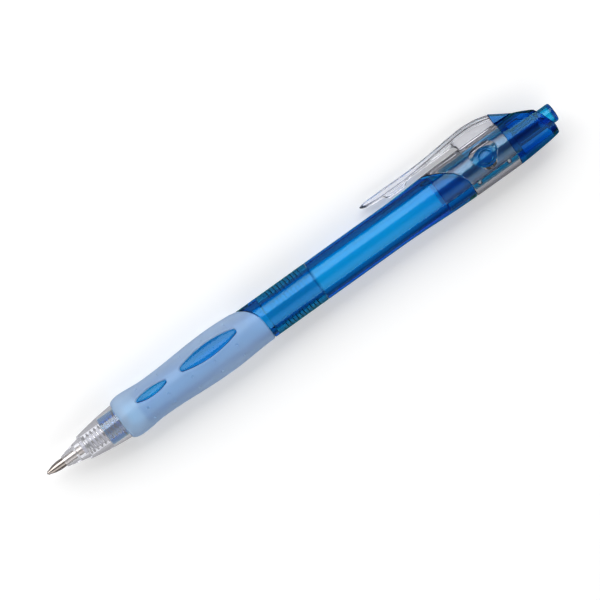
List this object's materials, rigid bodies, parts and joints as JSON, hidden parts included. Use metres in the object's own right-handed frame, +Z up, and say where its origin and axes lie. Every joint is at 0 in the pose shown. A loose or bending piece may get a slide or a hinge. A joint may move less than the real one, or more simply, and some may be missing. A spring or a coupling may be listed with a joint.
{
  "type": "retractable gel pen",
  "caption": "Retractable gel pen with a clear nose cone and clip, soft grip, translucent barrel in two halves screwed together, click mechanism and refill.",
  "frame": {"origin": "on the surface that the pen lies on, below the middle of its box", "axes": "+X along the pen towards the writing point, +Z up; the clip turns towards -Y and down, until its hump rests on the surface"},
  "size_m": [0.145, 0.015, 0.0115],
  "materials": {
    "clear": "clear polished polycarbonate",
    "barrel_blue": "translucent blue polished plastic",
    "cap_blue": "translucent deep blue polished plastic",
    "button_blue": "translucent cyan-blue polished plastic",
    "grip_rubber": "soft translucent frosted elastomer",
    "natural": "natural translucent polypropylene",
    "steel": "drawn spring wire",
    "nickel": "turned nickel silver",
    "ink_blue": "blue gel ink, a wet liquid",
    "follower": "clear grease"
  },
  "bodies": {
    "rear": {"rear_barrel": "barrel_blue", "clip_sleeve": "clear", "end_cap": "cap_blue", "guide_tube": "cap_blue"},
    "clip": {"clip_arm": "clear"},
    "knock": {"push_button": "button_blue", "thrust_tube": "button_blue"},
    "rotor": {"cam_rotor": "natural"},
    "spring": {"return_spring": "steel"},
    "refill": {"metal_point": "nickel", "point_spring": "steel", "point_holder": "natural", "refill_tube": "natural", "ink": "ink_blue", "ink_follower": "follower", "tail_plug": "natural"},
    "writing_ball": {"ball": "steel"},
    "front": {"nose_cone": "clear", "grip": "grip_rubber", "front_barrel": "barrel_blue"}
  },
  "joints": [
    {"name": "screw_turn", "type": "hinge", "parent": "spring", "child": "front", "pos_m": [-0.0046, 0.00172, 0.00575], "axis": [1, 0, 0], "range_deg": [0, 2160]},
    {"name": "screw_advance", "type": "slide", "parent": "rear", "child": "spring", "axis": [1, 0, 0], "range_m": [0, 0.012]},
    {"name": "button_press", "type": "slide", "parent": "rear", "child": "knock", "axis": [1, 0, 0], "range_m": [-0.006, 0.0012]},
    {"name": "refill_slide", "type": "slide", "parent": "spring", "child": "refill", "axis": [1, 0, 0], "range_m": [-0.006, 0.0012], "deforming": ["return_spring"]},
    {"name": "rotor_turn", "type": "hinge", "parent": "knock", "child": "rotor", "pos_m": [-0.0425, 0.00172, 0.00575], "axis": [1, 0, 0], "continuous": true},
    {"name": "ball_roll", "type": "hinge", "parent": "refill", "child": "writing_ball", "pos_m": [0.07215, 0.00172, 0.00575], "axis": [0, 1, 0], "continuous": true},
    {"name": "clip_flex", "type": "hinge", "parent": "rear", "child": "clip", "pos_m": [-0.0495, -0.00654, 0.00168], "axis": [0, 0.4423, -0.8969], "range_deg": [-1, 4], "stiffness_Nm_per_rad": 0.8}
  ],
  "couplings": [
    {"joint": "screw_turn", "follows": "screw_advance", "rad_per_m": 3141.6},
    {"joint": "refill_slide", "follows": "button_press", "ratio": 1}
  ]
}
